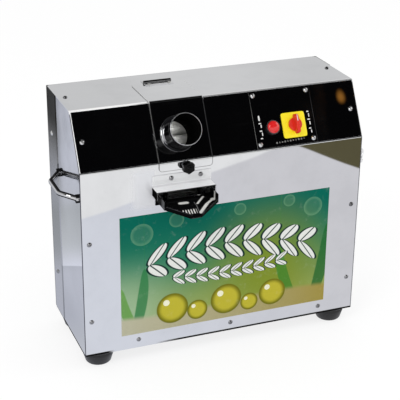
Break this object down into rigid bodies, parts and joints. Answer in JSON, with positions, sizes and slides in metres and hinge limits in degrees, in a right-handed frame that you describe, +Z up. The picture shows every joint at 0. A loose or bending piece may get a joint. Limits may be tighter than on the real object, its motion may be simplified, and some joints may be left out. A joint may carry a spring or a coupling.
{
  "type": "electric sugarcane juicer",
  "caption": "Tabletop electric sugarcane juicer: folded steel cabinet with a hinged feed flap and chute, fluted roller mill, geared motor drive, hooded spout, rotary switch and side handles.",
  "frame": {"origin": "middle of the outer box, on the floor under the rubber feet", "axes": "+Z up, front with the spout towards -Y, +X to the right as seen from the front"},
  "size_m": [0.624, 0.3224, 0.5067],
  "materials": {
    "polished_steel": "mirror-polished stainless sheet",
    "handle_steel": "polished bar",
    "plain_steel": "mill finish",
    "zinc_steel": "bright zinc",
    "hinge_steel": "dark steel",
    "roller_steel": "turned and fluted",
    "gear_iron": "oiled",
    "plate_iron": "primed",
    "motor_paint": "hammer enamel",
    "bronze": "turned",
    "black_gloss": "high gloss",
    "black_plastic": "moulded",
    "yellow_plastic": "moulded",
    "red_plastic": "moulded",
    "red_lens": "clear moulded",
    "rubber": "matt",
    "label_print": "printed vinyl",
    "white_plastic": "moulded"
  },
  "bodies": {
    "cabinet": {"front_wrap": "polished_steel", "left_side_panel": "polished_steel", "right_side_panel": "polished_steel", "rear_cover": "polished_steel", "hood": "polished_steel", "spout": "polished_steel", "juice_tray": "polished_steel", "rear_outlet": "polished_steel", "left_handle": "handle_steel", "right_handle": "handle_steel", "base_plate": "plain_steel", "trash_plate": "plain_steel", "hinge_pin": "plain_steel", "pilot_body": "plain_steel", "motor_bearings": "plain_steel", "panel_screws": "zinc_steel", "frame_bolts": "zinc_steel", "tie_rods": "zinc_steel", "weld_nut": "zinc_steel", "hinge_fixed_leaf": "hinge_steel", "left_mill_plate": "plate_iron", "right_mill_plate": "plate_iron", "gear_plate": "plate_iron", "mill_brackets": "plate_iron", "motor_body": "motor_paint", "motor_flange": "motor_paint", "fan_cover": "motor_paint", "terminal_box": "motor_paint", "roller_bushes": "bronze", "shaft_bushes": "bronze", "slope_fascia": "black_gloss", "control_plate": "black_gloss", "cable_gland": "black_plastic", "switch_body": "black_plastic", "switch_plate": "yellow_plastic", "pilot_lens": "red_lens", "rubber_feet": "rubber", "front_decal": "label_print", "capacitor": "white_plastic"},
    "motor_rotor": {"motor_rotor": "roller_steel", "cooling_fan": "black_plastic"},
    "first_shaft": {"first_shaft": "roller_steel", "first_gear": "gear_iron"},
    "second_shaft": {"second_shaft": "roller_steel", "second_gear": "gear_iron"},
    "top_roller": {"top_roller": "roller_steel", "main_gear": "gear_iron", "top_roller_gear": "gear_iron"},
    "front_roller": {"front_roller": "roller_steel", "front_roller_gear": "gear_iron"},
    "rear_roller": {"rear_roller": "roller_steel", "rear_roller_gear": "gear_iron"},
    "flap": {"flap": "polished_steel", "flap_fascia": "black_gloss", "feed_chute": "polished_steel", "hinge_flap_leaf": "hinge_steel", "flap_rivets": "plain_steel"},
    "knob_washer": {"knob_washer": "plain_steel"},
    "clamp_knob": {"clamp_knob": "black_plastic"},
    "switch_handle": {"switch_handle": "red_plastic"}
  },
  "joints": [
    {"name": "motor_spin", "type": "hinge", "parent": "cabinet", "child": "motor_rotor", "pos_m": [-0.08, 0.0285, 0.2125], "axis": [1, 0, 0], "continuous": true},
    {"name": "first_shaft_spin", "type": "hinge", "parent": "cabinet", "child": "first_shaft", "pos_m": [-0.08, 0.0285, 0.2885], "axis": [1, 0, 0], "continuous": true},
    {"name": "second_shaft_spin", "type": "hinge", "parent": "cabinet", "child": "second_shaft", "pos_m": [-0.08, 0.0285, 0.3745], "axis": [1, 0, 0], "continuous": true},
    {"name": "top_roller_spin", "type": "hinge", "parent": "cabinet", "child": "top_roller", "pos_m": [-0.08, 0.0285, 0.442], "axis": [1, 0, 0], "continuous": true},
    {"name": "front_roller_spin", "type": "hinge", "parent": "cabinet", "child": "front_roller", "pos_m": [-0.08, -0.0095, 0.38804], "axis": [1, 0, 0], "continuous": true},
    {"name": "rear_roller_spin", "type": "hinge", "parent": "cabinet", "child": "rear_roller", "pos_m": [-0.08, 0.0665, 0.38804], "axis": [1, 0, 0], "continuous": true},
    {"name": "flap_hinge", "type": "hinge", "parent": "cabinet", "child": "flap", "pos_m": [-0.08, 0.0735, 0.5035], "axis": [-1, 0, 0], "range_deg": [0, 100]},
    {"name": "knob_slide", "type": "slide", "parent": "flap", "child": "knob_washer", "axis": [0, 1, 0], "range_m": [0, 0.00375]},
    {"name": "knob_turn", "type": "hinge", "parent": "knob_washer", "child": "clamp_knob", "pos_m": [-0.08, -0.0835, 0.3925], "axis": [0, 1, 0], "range_deg": [0, 1080]},
    {"name": "switch_turn", "type": "hinge", "parent": "cabinet", "child": "switch_handle", "pos_m": [0.1415, -0.06422, 0.43505], "axis": [0, -0.8762, 0.4819], "range_deg": [-60, 60]}
  ],
  "couplings": [
    {"joint": "first_shaft_spin", "follows": "motor_spin", "ratio": -0.26667},
    {"joint": "second_shaft_spin", "follows": "motor_spin", "ratio": 0.060952},
    {"joint": "top_roller_spin", "follows": "motor_spin", "ratio": -0.021333},
    {"joint": "front_roller_spin", "follows": "motor_spin", "ratio": 0.021333},
    {"joint": "rear_roller_spin", "follows": "motor_spin", "ratio": 0.021333},
    {"joint": "knob_slide", "follows": "knob_turn", "m_per_rad": 0.00019894}
  ]
}
